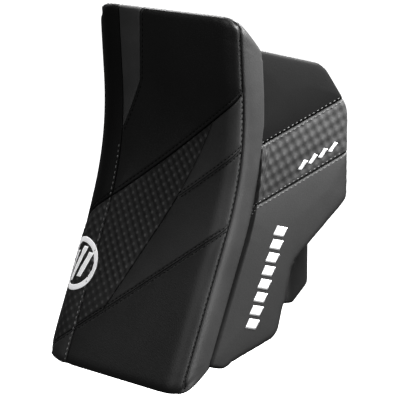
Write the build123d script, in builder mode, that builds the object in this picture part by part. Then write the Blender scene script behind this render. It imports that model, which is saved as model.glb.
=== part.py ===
"""Ice hockey goalie blocker, right hand: board, finger guard wing, hand unit and cuff.

Millimetres. The origin is the centre of the cuff mouth. +Z runs up the board, -Y is the
shooter's side and +X is the finger guard's side. The board's shape is kept as a side view:
a place on it is an arc length s up the front face and a depth d behind it.
"""
from build123d import *
from math import cos, hypot, radians, sin, tan
import os

os.makedirs("parts", exist_ok=True)

# Board, overall
board_width = 203.0
board_length = 381.0  # along the front face
board_depth = 36.0
lower_run = 160.0  # straight part of the face below the bend
bend_radius = 310.0
lower_lean = 23.0  # degrees from the vertical, foot forward
upper_lean = -4.0
end_bevel = 34.0  # how much shorter the back is than the front, at each end

# Where the board stands in the frame of the cuff mouth
hand_offset = 16.0  # the hand is this far from the board's middle, towards the wing
cuff_behind = 168.0
cuff_above = 295.0

# Board layers, from the front
cover = 1.5
face_foam_thickness = 6.0
stiffener_thickness = 2.0

# Seams of the face: (arc length at the board's middle, rise per mm towards the wing)
upper_seam = (234.0, 0.79)
middle_seam = (175.0, 0.72)
lower_seam = (96.0, 0.77)
dimple_seam = (138.0, 2.25)
strip_width = 40.5
grey_top_width = 32.0
grey_low_width = 25.0
grey_low_arc = 301.0
grey_end_arc = 250.0

# Finger guard wing, its outline as (back from the board, up from the foot)
wing_flare = 29.0  # degrees outward of straight back
wing_foot_arc = 31.0
wing_foot_depth = 28.0
wing_top_arc = 312.0
wing_top_inset = 2.0
wing_skin = 1.5
wing_foam_thickness = 10.0
wing_plate_thickness = 2.5
wing_lining_thickness = 3.0
wing_band = 1.5
wing_upper_seam = (220.0, 0.79)
wing_lower_seam = (153.5, 0.80)
wing_recess = 6.0  # the wing's outer face is this far inside the board's side
wing_outline = [(-14, 317), (70, 321), (101, 285), (113, 193), (67, 124), (65, 44), (12, 3), (-14, 3)]
wing_corners = [1, 14, 34, 12, 26, 16, 20, 1]

# Hand unit
hand_width = 92.0
hand_space = 26.0
pad_thickness = 12.5
backing_thickness = 2.5
liner_thickness = 5.0
leather = 3.0
hand_low_arc = 126.0
pad_split_arc = 186.0
pad_gap = 6.0
hand_high_arc = 300.0
palm_high_arc = 235.0
thumb_hole_radius = 12.0

# Screws, washers and tee nuts that hold the hand unit to the board
screw_arcs = (145.0, 208.0)
screw_spread = 54.0
screw_radius = 2.5
screw_length = 40.0
screw_head_radius = 5.0
screw_head_height = 3.0
socket_radius = 1.8
socket_depth = 1.8
washer_radius = 7.5
washer_thickness = 1.2
nut_flange_radius = 8.0
nut_flange_thickness = 1.2
nut_barrel_radius = 3.25
nut_barrel_length = 12.0
thread_gap = 0.05
hole_gap = 0.25
flange_seat = 0.2  # the flat flange stands off the curved stiffener
run_through = 1.0  # holes are cut this far past both faces of a layer

# Finger stalls
finger_across = 21.0
finger_thick = 23.0
finger_wall = 2.0
finger_corner = 8.0
finger_gap = 2.0
finger_tip = 5.0
knuckle_gap = 7.0  # room above the knuckles for the fingers to curl
finger_names = ["little", "ring", "middle", "index"]
finger_scales = [0.86, 1.0, 1.08, 1.0]
finger_runs = (24.0, 15.0, 17.0)
finger_radii = (20.0, 16.0)
finger_turns = (70.0, 50.0)

# Thumb stall and guard, placed from the cuff mouth
thumb_root = (64.0, -26.0, -128.0)
thumb_elbow = (75.5, 5.0, -175.0)
thumb_end = (75.5, 5.0, -224.0)
thumb_bend_radius = 34.0
thumb_across = 22.0
thumb_deep = 25.0
thumb_corner = 9.0
thumb_wall = 2.0
thumb_tip = 4.0
guard_width = 36.0
guard_depth = 48.0
guard_corner = 15.0
guard_wall = 4.5
guard_insert = 1.5
guard_length = 80.0
guard_cap = 9.0
guard_front_height = 44.0
guard_open_side = 6.0
guard_open_front = 8.0
guard_open_height = 6.0
guard_rim = 4.0

# Cuff
cuff_height = 73.0
cuff_wall = 9.0
cuff_back = 31.0  # from the mouth's centre to the back of the walls
flap_thickness = 9.0
flap_gap = 0.5

# Strap
strap_width = 38.0
strap_thickness = 2.5
strap_length = 58.0
strap_gap = 0.35
anchor_length = 62.0
anchor_end = 1.65  # how far short of the strap's fold the anchor ends
patch_thickness = 1.2
patch_width = 32.0
patch_length = 42.0
patch_end = 5.0

# Worked out
far = 400.0
half_width = board_width / 2
bend_turn = radians(lower_lean - upper_lean)
upper_start = lower_run + bend_radius * bend_turn
skin_run = cover * hypot(end_bevel, board_depth) / board_depth
stiffener_start = cover + face_foam_thickness
core_start = stiffener_start + stiffener_thickness
core_end = board_depth - cover
backing_start = board_depth + pad_thickness
liner_start = backing_start + backing_thickness
pocket_start = liner_start + liner_thickness
pocket_end = pocket_start + hand_space
palm_end = pocket_end + leather
nut_seat = stiffener_start - flange_seat
nut_start = nut_seat - nut_flange_thickness
foot = Vector(-hand_offset, -cuff_behind, -cuff_above)
side_plane = Plane(origin=foot, x_dir=(0, 1, 0), z_dir=(1, 0, 0))
hand_plane = side_plane.offset(hand_offset)
front_plane = Plane(origin=foot, x_dir=(1, 0, 0), z_dir=(0, -1, 0))


def lean(s):
    """Lean of the face from the vertical at arc length s, in radians."""
    turned = min(max((s - lower_run) / bend_radius, 0.0), bend_turn)
    return radians(lower_lean) - turned


def profile(s, d=0.0):
    """Side view point (back, up) from the board's foot."""
    straight = min(s, lower_run)
    y = straight * sin(radians(lower_lean))
    z = straight * cos(radians(lower_lean))
    if s > lower_run:
        y += bend_radius * (cos(lean(s)) - cos(radians(lower_lean)))
        z += bend_radius * (sin(radians(lower_lean)) - sin(lean(s)))
    if s > upper_start:
        y += (s - upper_start) * sin(lean(s))
        z += (s - upper_start) * cos(lean(s))
    return (y + d * cos(lean(s)), z - d * sin(lean(s)))


def place(x, s, d):
    """Point of the frame at x from the board's middle."""
    y, z = profile(s, d)
    return foot + Vector(x, y, z)


def normal_plane(x, s, d):
    """Plane at a place of the board that faces straight out of its back."""
    return Plane(origin=place(x, s, d), x_dir=(1, 0, 0), z_dir=(0, cos(lean(s)), -sin(lean(s))))


def ends(d, margin=0.0):
    """Arc lengths where the board's bevelled ends lie at depth d."""
    cut = end_bevel * d / board_depth + margin
    return (cut, board_length - cut)


def layer(plane, d_near, near, d_far, far_ends):
    """Side view sketch of a layer, with its ends as arc lengths at both depths."""
    with BuildSketch(plane) as outline:
        with BuildLine():
            for d, (start, end) in ((d_near, near), (d_far, far_ends)):
                stops = [start] + [s for s in (lower_run, upper_start) if start < s < end] + [end]
                for a, b in zip(stops, stops[1:]):
                    if a >= lower_run and b <= upper_start:
                        ThreePointArc(profile(a, d), profile((a + b) / 2, d), profile(b, d))
                    else:
                        Line(profile(a, d), profile(b, d))
            Line(profile(near[0], d_near), profile(far_ends[0], d_far))
            Line(profile(near[1], d_near), profile(far_ends[1], d_far))
        make_face()
    return outline.sketch


def board_layer(d_near, d_far, margin):
    return layer(side_plane, d_near, ends(d_near, margin), d_far, ends(d_far, margin))


def hand_layer(d_near, d_far, low, high):
    return layer(hand_plane, d_near, (low, high), d_far, (low, high))


def screw_places():
    """Places of the screws: (x from the board's middle, arc length)."""
    return [(hand_offset + side * screw_spread / 2, s) for side in (-1, 1) for s in screw_arcs]


def cylinders(radius, d_near, d_far, mode=Mode.ADD):
    """A cylinder at each screw, between two depths."""
    for x, s in screw_places():
        with BuildSketch(normal_plane(x, s, d_near)) as section:
            Circle(radius)
        extrude(section.sketch, amount=d_far - d_near, mode=mode)


def holes(radius, d_near, d_far):
    """A hole right through a layer at each screw."""
    cylinders(radius, d_near - run_through, d_far + run_through, Mode.SUBTRACT)


def finish(piece, name):
    piece.part.label = name
    export_step(piece.part, f"parts/{name}.step")


# All that lies in front of the board's back, which trims what is sewn behind it
with BuildPart() as front_space:
    reach = (-far / 4, board_length + far / 4)
    extrude(layer(side_plane, -board_depth, reach, board_depth, reach), amount=far, both=True)

# Foams and stiffener inside the board
with BuildPart() as board_core:
    extrude(board_layer(core_start, core_end, skin_run), amount=half_width - cover, both=True)
    holes(nut_barrel_radius + hole_gap, core_start, core_end)
finish(board_core, "board_core")

with BuildPart() as board_stiffener:
    extrude(board_layer(stiffener_start, core_start, skin_run), amount=half_width - cover, both=True)
    holes(nut_barrel_radius + hole_gap, stiffener_start, core_start)
finish(board_stiffener, "board_stiffener")

with BuildPart() as face_foam:
    extrude(board_layer(cover, stiffener_start, skin_run), amount=half_width - cover, both=True)
    pocket_end_depth = stiffener_start + run_through
    cylinders(nut_flange_radius + hole_gap, nut_start - hole_gap, pocket_end_depth, Mode.SUBTRACT)
finish(face_foam, "face_foam")


# Covers of the face, cut from one skin along the seams
def across(seam, x):
    return seam[0] + seam[1] * x


def crossing(seam, other):
    """Place (x, s) where two seams meet."""
    x = (other[0] - seam[0]) / (seam[1] - other[1])
    return (x, across(seam, x))


strip_edge = strip_width - half_width
beyond = half_width + 20.0
above = board_length + 20.0
upper_end = (strip_edge, across(upper_seam, strip_edge))
lower_end = (strip_edge, across(lower_seam, strip_edge))
grey_edge = [
    (strip_edge, grey_end_arc),
    (strip_edge + grey_low_width, grey_low_arc),
    (strip_edge + grey_top_width, above),
]
upper_cross = crossing(dimple_seam, upper_seam)
middle_cross = crossing(dimple_seam, middle_seam)
lower_cross = crossing(dimple_seam, lower_seam)
upper_right = (beyond, across(upper_seam, beyond))
middle_right = (beyond, across(middle_seam, beyond))
lower_right = (beyond, across(lower_seam, beyond))
upper_left = (-beyond, across(upper_seam, -beyond))
lower_left = (-beyond, across(lower_seam, -beyond))

face_covers = {
    "face_panel_upper": grey_edge + [(beyond, above), upper_right, upper_cross, upper_end],
    "face_strip_grey": grey_edge + [(strip_edge, above)],
    "face_panel_dimpled": [upper_end, upper_cross, middle_cross, lower_cross, lower_end],
    "face_panel_middle": [upper_cross, upper_right, middle_right, middle_cross],
    "face_panel_lower": [middle_cross, middle_right, lower_right, lower_cross],
    "face_panel_bottom": [lower_end, lower_cross, lower_right, (beyond, -20.0), (strip_edge, -20.0)],
    "edge_strip_upper": [(-beyond, above), (strip_edge, above), upper_end, upper_left],
    "edge_strip_dimpled": [upper_left, upper_end, lower_end, lower_left],
    "edge_strip_lower": [lower_left, lower_end, (strip_edge, -20.0), (-beyond, -20.0)],
}
for cover_name, corners in face_covers.items():
    with BuildPart() as face_cover:
        extrude(board_layer(0.0, cover, 0.0), amount=half_width, both=True)
        with BuildSketch(front_plane):
            with BuildLine():
                Polyline([(x, profile(s)[1]) for x, s in corners], close=True)
            make_face()
        extrude(amount=far, both=True, mode=Mode.INTERSECT)
    finish(face_cover, cover_name)

# Covers of the board's sides, ends and back
for cover_name, side in (("sidewall_wing", 1), ("sidewall_outer", -1)):
    with BuildPart() as sidewall:
        outline = board_layer(cover, core_end, skin_run)
        with Locations((side * (half_width - cover / 2), 0, 0)):
            add(extrude(outline, amount=cover / 2, both=True, mode=Mode.PRIVATE))
    finish(sidewall, cover_name)

for cover_name, end in (("end_cover_bottom", 0), ("end_cover_top", 1)):
    runs = []
    for d in (cover, core_end):
        runs.append(tuple(sorted((ends(d)[end], ends(d, skin_run)[end]))))
    with BuildPart() as end_cover:
        extrude(layer(side_plane, cover, runs[0], core_end, runs[1]), amount=half_width, both=True)
        for inner in (board_core, board_stiffener, face_foam):
            add(inner.part, mode=Mode.SUBTRACT)
    finish(end_cover, cover_name)

with BuildPart() as back_cover:
    extrude(board_layer(core_end, board_depth, 0.0), amount=half_width, both=True)
    holes(screw_radius + hole_gap, core_end, board_depth)
finish(back_cover, "back_cover")

# Finger guard wing: a flat pad on a plane that flares out from the board's side
wing_foot = place(half_width, wing_foot_arc, wing_foot_depth)
wing_top = place(half_width - wing_top_inset, wing_top_arc, board_depth)
wing_up = (wing_top - wing_foot).normalized()
wing_straight = wing_up.cross(Vector(1, 0, 0)).normalized()
wing_side = wing_straight.cross(wing_up)
wing_back = wing_straight * cos(radians(wing_flare)) + wing_side * sin(radians(wing_flare))
wing_side_plane = Plane(origin=wing_foot, x_dir=wing_back, z_dir=wing_back.cross(wing_up))
wing_plane = wing_side_plane.offset(-wing_recess)


def wing_sketch(depth, inset):
    """The wing's outline at a depth behind its outer face, moved in by inset."""
    with BuildSketch(wing_plane.offset(-depth)) as outline:
        with BuildLine():
            FilletPolyline(*wing_outline, radius=wing_corners, close=True)
        make_face()
        if inset:
            offset(amount=-inset)
    return outline.sketch


wing_far = 200.0
wing_end = wing_skin + wing_foam_thickness + wing_plate_thickness + wing_lining_thickness
wing_high = 400.0


def seam_across(seam):
    """A wing seam's two ends, past both edges of the wing."""
    return [(-wing_far, across(seam, -wing_far)), (wing_far, across(seam, wing_far))]


wing_covers = {
    "wing_panel_upper": seam_across(wing_upper_seam) + [(wing_far, wing_high), (-wing_far, wing_high)],
    "wing_panel_dimpled": seam_across(wing_lower_seam) + seam_across(wing_upper_seam)[::-1],
    "wing_panel_lower": seam_across(wing_lower_seam) + [(wing_far, -wing_far), (-wing_far, -wing_far)],
}
for cover_name, corners in wing_covers.items():
    with BuildPart() as wing_cover:
        extrude(wing_sketch(0.0, 0.0), amount=-wing_skin)
        with BuildSketch(wing_plane):
            with BuildLine():
                Polyline(corners, close=True)
            make_face()
        extrude(amount=wing_high, both=True, mode=Mode.INTERSECT)
        add(front_space.part, mode=Mode.SUBTRACT)
    finish(wing_cover, cover_name)

wing_layers = [
    ("wing_foam", wing_foam_thickness),
    ("wing_plate", wing_plate_thickness),
    ("wing_lining", wing_lining_thickness),
]
layer_depth = wing_skin
for layer_name, thickness in wing_layers:
    with BuildPart() as wing_layer:
        extrude(wing_sketch(layer_depth, wing_band), amount=-thickness)
        add(front_space.part, mode=Mode.SUBTRACT)
    finish(wing_layer, layer_name)
    layer_depth += thickness

with BuildPart() as wing_edge_band:
    extrude(wing_sketch(wing_skin, 0.0), amount=wing_skin - wing_end)
    extrude(wing_sketch(wing_skin, wing_band), amount=wing_skin - wing_end, mode=Mode.SUBTRACT)
    add(front_space.part, mode=Mode.SUBTRACT)
finish(wing_edge_band, "wing_edge_band")

# Tee nuts in the board, and the screws that reach them from the hand pocket
with BuildPart() as tee_nuts:
    cylinders(nut_flange_radius, nut_start, nut_seat)
    cylinders(nut_barrel_radius, nut_seat, nut_seat + nut_barrel_length)
    holes(screw_radius + thread_gap, nut_start, nut_seat + nut_barrel_length)
finish(tee_nuts, "tee_nuts")

head_start = liner_start + washer_thickness
with BuildPart() as palm_screws:
    cylinders(screw_radius, head_start - screw_length, head_start)
    cylinders(screw_head_radius, head_start, head_start + screw_head_height)
    head_end = head_start + screw_head_height
    cylinders(socket_radius, head_end - socket_depth, head_end, Mode.SUBTRACT)
finish(palm_screws, "palm_screws")

with BuildPart() as screw_washers:
    cylinders(washer_radius, liner_start, head_start)
    holes(screw_radius + hole_gap, liner_start, head_start)
finish(screw_washers, "screw_washers")

# Pads, backing and liner behind the hand
pads = (
    ("knuckle_pad", hand_low_arc, pad_split_arc - pad_gap / 2),
    ("wrist_pad", pad_split_arc + pad_gap / 2, hand_high_arc),
)
for pad_name, low, high in pads:
    with BuildPart() as pad:
        extrude(hand_layer(board_depth, backing_start, low, high), amount=hand_width / 2, both=True)
        holes(screw_radius + hole_gap, board_depth, backing_start)
    finish(pad, pad_name)

with BuildPart() as hand_backing:
    sheet = hand_layer(backing_start, liner_start, hand_low_arc, hand_high_arc)
    extrude(sheet, amount=hand_width / 2, both=True)
    holes(screw_radius + hole_gap, backing_start, liner_start)
finish(hand_backing, "hand_backing")

with BuildPart() as hand_liner:
    sheet = hand_layer(liner_start, pocket_start, hand_low_arc, hand_high_arc)
    extrude(sheet, amount=hand_width / 2, both=True)
    holes(washer_radius + hole_gap, liner_start, pocket_start)
finish(hand_liner, "hand_liner")

# Palm: a leather wall along each side of the hand and the palm across them
with BuildPart() as palm:
    outer = hand_layer(board_depth, palm_end, hand_low_arc, palm_high_arc)
    inner = hand_layer(board_depth, pocket_end, hand_low_arc, palm_high_arc)
    extrude(outer, amount=hand_width / 2 + leather, both=True)
    extrude(inner, amount=hand_width / 2, both=True, mode=Mode.SUBTRACT)
    with BuildSketch(Plane(origin=(0, thumb_root[1], thumb_root[2]), z_dir=(1, 0, 0))):
        Circle(thumb_hole_radius)
    extrude(amount=hand_width, mode=Mode.SUBTRACT)
finish(palm, "palm")


# Finger and thumb stalls: hollow sleeves with a closed tip
def sleeve(corners, radii, start_plane, size, corner, wall, tip):
    """A sleeve along a route of corner points, open at its start."""
    last = Vector(*corners[-1]) - Vector(*corners[-2])
    short_end = Vector(*corners[-1]) - last.normalized() * tip
    with BuildPart() as tube:
        for points, inset, mode in (
            (corners, 0.0, Mode.ADD),
            (corners[:-1] + [short_end], wall, Mode.SUBTRACT),
        ):
            with BuildLine() as route:
                FilletPolyline(*points, radius=radii)
            with BuildSketch(start_plane) as section:
                RectangleRounded(size[0] - 2 * inset, size[1] - 2 * inset, corner - inset)
            sweep(section.sketch, path=route.line, mode=mode)
    return tube


knuckle_arc = hand_low_arc - knuckle_gap
knuckle_depth = (pocket_start + pocket_end) / 2


def finger_corners(x, scale):
    """Corner points of a finger's route, from the knuckle round both joints to the tip."""
    point = place(hand_offset + x, knuckle_arc, knuckle_depth)
    heading = radians(-90.0 - lower_lean)
    corners = [point]
    slack = 0.0
    for run, radius, turn in zip(finger_runs, finger_radii, finger_turns):
        cut = radius * tan(radians(turn) / 2)
        point = point + Vector(0, cos(heading), sin(heading)) * (run * scale + slack + cut)
        corners.append(point)
        heading += radians(turn)
        slack = cut
    corners.append(point + Vector(0, cos(heading), sin(heading)) * (finger_runs[-1] * scale + slack))
    return corners


for number, (finger_name, finger_scale) in enumerate(zip(finger_names, finger_scales)):
    finger_x = (number - 1.5) * (finger_across + finger_gap)
    corners = finger_corners(finger_x, finger_scale)
    start_plane = Plane(origin=corners[0], x_dir=(1, 0, 0), z_dir=corners[1] - corners[0])
    size = (finger_across, finger_thick)
    stall = sleeve(corners, finger_radii, start_plane, size, finger_corner, finger_wall, finger_tip)
    finish(stall, f"finger_stall_{finger_name}")

thumb_corners = [Vector(*thumb_root), Vector(*thumb_elbow), Vector(*thumb_end)]
thumb_start = Plane(origin=thumb_root, x_dir=(1, 0, 0), z_dir=thumb_corners[1] - thumb_corners[0])
thumb_size = (thumb_across, thumb_deep)
thumb_stall = sleeve(
    thumb_corners, [thumb_bend_radius], thumb_start, thumb_size, thumb_corner, thumb_wall, thumb_tip
)
finish(thumb_stall, "thumb_stall")

# Thumb guard: a cap round the tip, back and outer side of the thumb, lined with plastic
guard_low = thumb_end[2] - guard_insert - guard_cap
guard_high = guard_low + guard_length


def guard_shell(inset, wall, floor, low, high):
    """A cup round the thumb's end, cut open towards the hand and, higher up, to the front."""
    x, y = thumb_end[0], thumb_end[1]
    with BuildPart() as shell:
        for narrower, base, mode in ((inset, low, Mode.ADD), (inset + wall, low + floor, Mode.SUBTRACT)):
            with BuildSketch(Plane(origin=(x, y, base))) as section:
                size = (guard_width - 2 * narrower, guard_depth - 2 * narrower)
                RectangleRounded(*size, guard_corner - narrower)
            extrude(section.sketch, amount=high - base, mode=mode)
        with BuildSketch(Plane(origin=(x - guard_open_side, y, thumb_end[2] + guard_open_height))) as side:
            Rectangle(far, far, align=(Align.MAX, Align.CENTER))
        extrude(side.sketch, amount=far, mode=Mode.SUBTRACT)
        with BuildSketch(Plane(origin=(x, y - guard_open_front, guard_low + guard_front_height))) as front:
            Rectangle(far, far, align=(Align.CENTER, Align.MAX))
        extrude(front.sketch, amount=far, mode=Mode.SUBTRACT)
    return shell


thumb_guard = guard_shell(0.0, guard_wall, guard_cap, guard_low, guard_high)
finish(thumb_guard, "thumb_guard")

insert_low = guard_low + guard_cap
thumb_guard_insert = guard_shell(guard_wall, guard_insert, guard_insert, insert_low, guard_high - guard_rim)
finish(thumb_guard_insert, "thumb_guard_insert")

# Cuff: a padded wall on each side of the wrist and a flap that closes the back
cuff_front = place(0, hand_high_arc, board_depth / 2).Y
cuff_half = hand_width / 2 + cuff_wall
for wall_name, side in (("cuff_side_wing", 1), ("cuff_side_outer", -1)):
    with BuildPart() as cuff_side:
        with BuildSketch(Plane(origin=(side * (cuff_half - cuff_wall / 2), cuff_front, -cuff_height))):
            Rectangle(cuff_wall, cuff_back - cuff_front, align=(Align.CENTER, Align.MIN))
        extrude(amount=cuff_height)
        add(front_space.part, mode=Mode.SUBTRACT)
    finish(cuff_side, wall_name)

flap_middle = cuff_back + flap_gap + flap_thickness / 2
flap_hinge_x = cuff_half - flap_thickness / 2
with BuildPart() as cuff_flap:
    with BuildSketch(Plane(origin=(flap_hinge_x, flap_middle, -cuff_height))):
        Rectangle(cuff_half + flap_hinge_x, flap_thickness, align=(Align.MAX, Align.CENTER))
        Circle(flap_thickness / 2)
    extrude(amount=cuff_height)
finish(cuff_flap, "cuff_flap")

# Strap: anchored on the flap, folds round its free end and grips a patch on the outer wall
strap_middle = -cuff_height / 2
flap_outside = flap_middle + flap_thickness / 2
fold_x = -cuff_half - 2 * patch_thickness - strap_thickness / 2
fold_y = flap_outside - strap_gap - strap_thickness / 2
with BuildPart() as strap_anchor:
    with BuildSketch(Plane(origin=(fold_x + anchor_end, flap_outside, strap_middle - strap_width / 2))):
        Rectangle(anchor_length, strap_thickness, align=(Align.MIN, Align.MIN))
    extrude(amount=strap_width)
finish(strap_anchor, "strap_anchor")

with BuildPart() as strap_tail:
    with BuildSketch(Plane(origin=(fold_x, fold_y, strap_middle - strap_width / 2))):
        Rectangle(strap_thickness, strap_length, align=(Align.CENTER, Align.MAX))
        Circle(strap_thickness / 2)
    extrude(amount=strap_width)
finish(strap_tail, "strap_tail")

patch_y = fold_y - strap_length + patch_end
for patch_name, patch_x in (("strap_loop_patch", -cuff_half), ("strap_hook_patch", -cuff_half - patch_thickness)):
    with BuildPart() as patch:
        with BuildSketch(Plane(origin=(patch_x, patch_y, strap_middle - patch_width / 2))):
            Rectangle(patch_thickness, patch_length, align=(Align.MAX, Align.MIN))
        extrude(amount=patch_width)
    finish(patch, patch_name)
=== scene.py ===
from math import atan2, cos, exp, hypot, pi, radians, sin, tan

import bmesh
import bpy
from mathutils import Matrix, Vector
from mathutils.bvhtree import BVHTree
from mathutils.kdtree import KDTree


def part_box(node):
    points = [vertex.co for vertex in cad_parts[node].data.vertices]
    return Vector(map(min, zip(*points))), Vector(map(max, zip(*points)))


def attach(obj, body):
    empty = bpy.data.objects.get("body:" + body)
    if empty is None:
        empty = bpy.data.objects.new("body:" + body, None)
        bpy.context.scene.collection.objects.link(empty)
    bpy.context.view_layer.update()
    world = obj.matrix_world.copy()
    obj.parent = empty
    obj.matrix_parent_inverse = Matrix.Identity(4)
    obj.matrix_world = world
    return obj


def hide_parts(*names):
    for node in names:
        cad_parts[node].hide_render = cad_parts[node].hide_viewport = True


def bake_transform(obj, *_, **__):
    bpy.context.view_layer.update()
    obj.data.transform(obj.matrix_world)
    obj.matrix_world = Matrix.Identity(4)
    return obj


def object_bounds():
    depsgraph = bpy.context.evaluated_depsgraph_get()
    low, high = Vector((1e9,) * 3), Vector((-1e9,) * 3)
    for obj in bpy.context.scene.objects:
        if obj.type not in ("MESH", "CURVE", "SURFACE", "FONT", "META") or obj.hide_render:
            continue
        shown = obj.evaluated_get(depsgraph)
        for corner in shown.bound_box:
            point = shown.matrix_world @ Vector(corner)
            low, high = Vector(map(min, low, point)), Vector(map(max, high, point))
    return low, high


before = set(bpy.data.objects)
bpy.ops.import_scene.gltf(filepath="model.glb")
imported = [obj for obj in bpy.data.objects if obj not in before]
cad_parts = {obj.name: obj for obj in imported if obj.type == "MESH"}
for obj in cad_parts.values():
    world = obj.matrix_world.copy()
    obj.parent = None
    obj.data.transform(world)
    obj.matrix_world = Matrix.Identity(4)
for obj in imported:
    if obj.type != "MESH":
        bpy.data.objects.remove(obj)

mm = 0.001
cadLow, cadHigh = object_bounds()

# the board's shape: arc length s up the face, depth d behind it
board = {
    "width": 203 * mm,
    "length": 381 * mm,
    "depth": 36 * mm,
    "lowerRun": 160 * mm,
    "bendRadius": 310 * mm,
    "lowerLean": radians(23),
    "upperLean": radians(-4),
    "endBevels": (48 * mm, 44 * mm),
    "bevelReach": 70 * mm,
    "rightRoll": 24 * mm,
    "leftRoll": 33 * mm,
    "topRoll": 16 * mm,
    "bottomRoll": 24 * mm,
    "backRoll": 3.5 * mm,
    "roundness": 2.4,  # 2 is a circle, more is squarer
    "corners": {(1, 1): 17 * mm, (1, -1): 4 * mm, (-1, 1): 18 * mm, (-1, -1): 14 * mm},
    "fuller": (16 * mm, 12 * mm),  # how far the stuffed ends stand past the block
    "taper": 8 * mm,  # how much narrower the face is at its foot
    "taperReach": 230 * mm,
    "skew": 8 * mm,  # how much lower the foot's wing side is
    "footFlare": 3.5 * mm,  # how far the foot's outer side stands out
    "flareReach": 120 * mm,
    "topTrim": 2.6 * mm,  # how far the top's outer side is drawn in
    "cell": 2.3 * mm,
    "edgeSeam": 3.2 * mm,
    "hemPull": 1.3 * mm,
    "hemWidth": 1.6 * mm,
    "hemFade": 12 * mm,
    "stripDepth": 27 * mm,
    "cover": 1.2 * mm,
    "foamInset": 3.8,  # in mm
    "foamCell": 6 * mm,
    "crown": 1.3 * mm,
    "crownReach": 13 * mm,
    "relaxReach": 30 * mm,
    "relaxSteps": 9,
}
foamLow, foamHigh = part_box("face_foam")
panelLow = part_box("face_panel_bottom")[0]
foot = Vector(((foamLow.x + foamHigh.x) / 2, panelLow.y, panelLow.z))


def lean(s):
    turned = (s - board["lowerRun"]) / board["bendRadius"]
    turned = min(max(turned, 0.0), board["lowerLean"] - board["upperLean"])
    return board["lowerLean"] - turned


def bend(x, s, d):
    # a place of the flat board, put on the bent one
    run, radius, low = board["lowerRun"], board["bendRadius"], board["lowerLean"]
    y = min(s, run) * sin(low)
    z = min(s, run) * cos(low)
    angle = lean(s)
    if s > run:
        y += radius * (cos(angle) - cos(low))
        z += radius * (sin(low) - sin(angle))
    past = s - run - radius * (low - board["upperLean"])
    if past > 0:
        y += past * sin(angle)
        z += past * cos(angle)
    return foot + Vector((x, y + d * cos(angle), z - d * sin(angle)))


def unbend(point):
    # the arc length and depth of a place
    run, radius, low, high = (board[k] for k in ("lowerRun", "bendRadius", "lowerLean", "upperLean"))
    y = point.y - foot.y
    z = point.z - foot.z
    s = y * sin(low) + z * cos(low)
    if s <= run:
        return s, y * cos(low) - z * sin(low)
    y -= run * sin(low) - radius * cos(low)
    z -= run * cos(low) + radius * sin(low)
    angle = atan2(-z, y)
    if angle >= high:
        return run + radius * (low - angle), hypot(y, z) - radius
    past = y * sin(high) + z * cos(high)
    return run + radius * (low - high) + past, y * cos(high) - z * sin(high) - radius


def roundOff(a, b, radius):
    # a square corner of a section, drawn in to a round one
    if a >= radius or b >= radius:
        return a, b
    inward = Vector((radius - a, radius - b))
    if inward.length < 1e-9:
        return a, b
    power = board["roundness"]
    inward *= max(inward) / (max(inward.x, 0) ** power + max(inward.y, 0) ** power) ** (1 / power)
    return radius - inward.x, radius - inward.y


def rolled(x, s, d):
    # the flat block with its edges and corners rounded and its ends bevelled
    half, length, depth = board["width"] / 2, board["length"], board["depth"]
    a, d = roundOff(half - x, d, board["rightRoll"])
    x = half - a
    a, d = roundOff(half + x, d, board["leftRoll"])
    x = a - half
    a, d = roundOff(length - s, d, board["topRoll"])
    s = length - a
    s, d = roundOff(s, d, board["bottomRoll"])
    for side in (-1, 1):
        a, back = roundOff(half - side * x, depth - d, board["backRoll"])
        x, d = side * (half - a), depth - back
    for (side, end), radius in board["corners"].items():
        a, b = roundOff(half - side * x, s if end < 0 else length - s, radius)
        x = side * (half - a)
        s = b if end < 0 else length - b
    lowCut, highCut = (cut * d / depth for cut in board["endBevels"])
    s += lowCut * max(0.0, 1 - s / board["bevelReach"])
    s -= highCut * max(0.0, 1 - (length - s) / board["bevelReach"])
    low, high = board["fuller"]
    share = (x + half) / (2 * half)
    x -= board["taper"] * share * max(0.0, 1 - s / board["taperReach"])
    x -= board["footFlare"] * (1 - share) * max(0.0, 1 - s / board["flareReach"])
    x += board["topTrim"] * (1 - share) * smooth(board["flareReach"], length * 0.7, s)
    low += board["skew"] * (share - 0.4) * max(0.0, 1 - s / board["taperReach"])
    return x, s + (low + high) * s / length - low, d


def near(value, other, gap=1e-6):
    return abs(value - other) < gap


def smooth(low, high, value):
    t = min(max((value - low) / (high - low), 0.0), 1.0)
    return t * t * (3 - 2 * t)


def toSegment(x, y, start, end):
    # distance from a point to a stretch of seam
    ax, ay = start
    bx, by = end[0] - ax, end[1] - ay
    t = min(max(((x - ax) * bx + (y - ay) * by) / (bx * bx + by * by), 0.0), 1.0)
    return hypot(x - ax - t * bx, y - ay - t * by)


def cutAll(bm, point, normal):
    everything = bm.verts[:] + bm.edges[:] + bm.faces[:]
    bmesh.ops.bisect_plane(bm, geom=everything, dist=1e-6, plane_co=point, plane_no=normal)


def vertsOf(geometry):
    return [g for g in geometry if isinstance(g, bmesh.types.BMVert)]


def evenOut(bm, verts, times):
    everyWay = {"use_axis_x": True, "use_axis_y": True, "use_axis_z": True}
    for step in range(times):
        bmesh.ops.smooth_vert(bm, verts=verts, factor=0.5, **everyWay)


def swell(bm, distance):
    # moves a skin out along its normals by so many mm, or in where that is negative
    bm.normal_update()
    for vert, normal in [(v, v.normal.copy()) for v in bm.verts]:
        vert.co += normal * distance * mm


def mapFlat(bm, places, scale=10):
    # keeps each point's place on the flat cover, in tenths of a metre
    layer = bm.loops.layers.uv.new("flat")
    for face in bm.faces:
        for loop in face.loops:
            loop[layer].uv = [scale * c for c in places[loop.vert.index]]


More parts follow.
